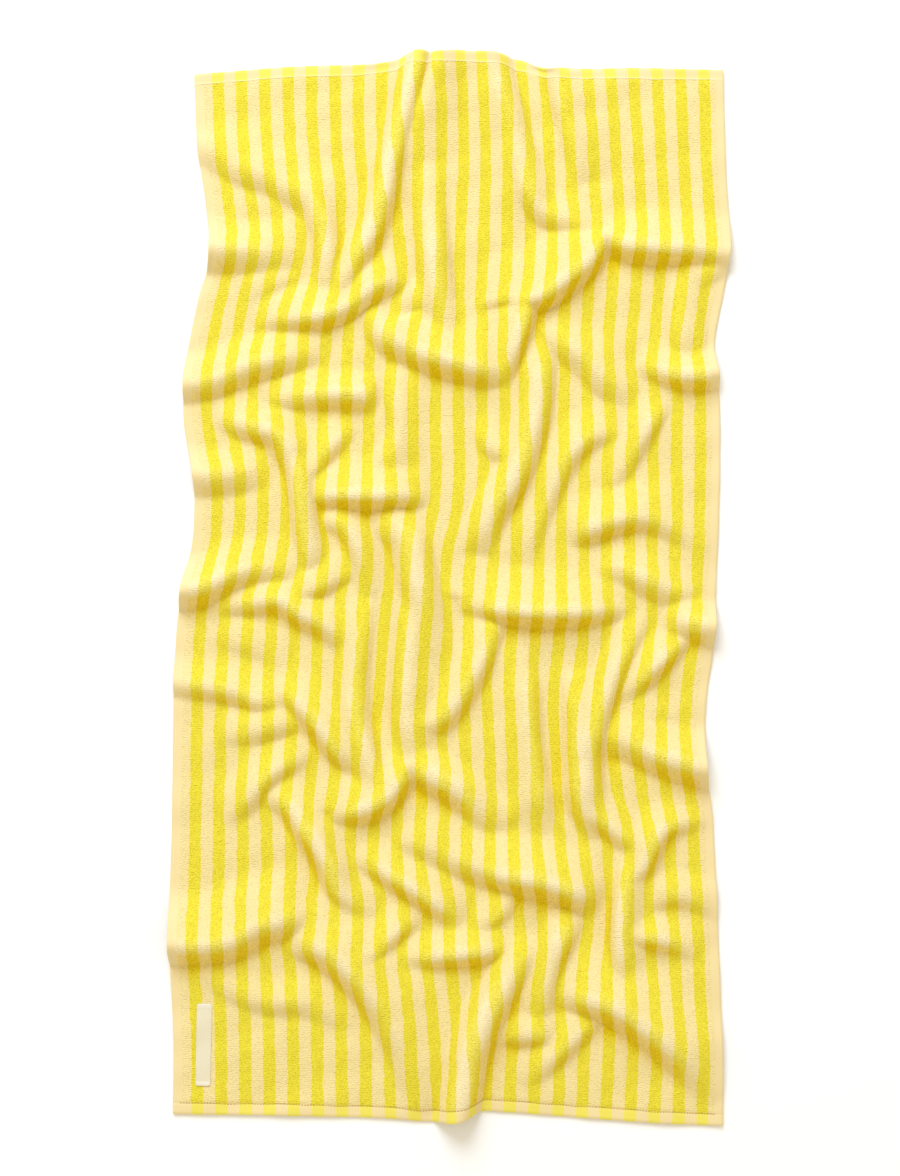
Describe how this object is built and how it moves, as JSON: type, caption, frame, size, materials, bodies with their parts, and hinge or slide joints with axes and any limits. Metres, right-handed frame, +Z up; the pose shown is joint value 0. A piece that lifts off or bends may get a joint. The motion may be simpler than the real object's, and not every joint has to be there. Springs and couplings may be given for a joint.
{
  "type": "bath towel laid out in loose folds",
  "caption": "Striped terry bath towel laid out loose on a flat surface, crumpled into low soft folds, with stitched end hems and a bare woven label near one corner.",
  "frame": {"origin": "centre of the laid towel's bounding box, on the surface that it lies on", "axes": "+Y along the towel's length to the end without the label, +X across it with the label's edge at -X, +Z up from the surface"},
  "size_m": [0.6844, 1.314, 0.0341],
  "materials": {
    "towel_terry": "matt cotton loop pile",
    "label_tape": "matt woven tape"
  },
  "bodies": {
    "root": {"towel": "towel_terry", "label": "label_tape"}
  },
  "joints": []
}
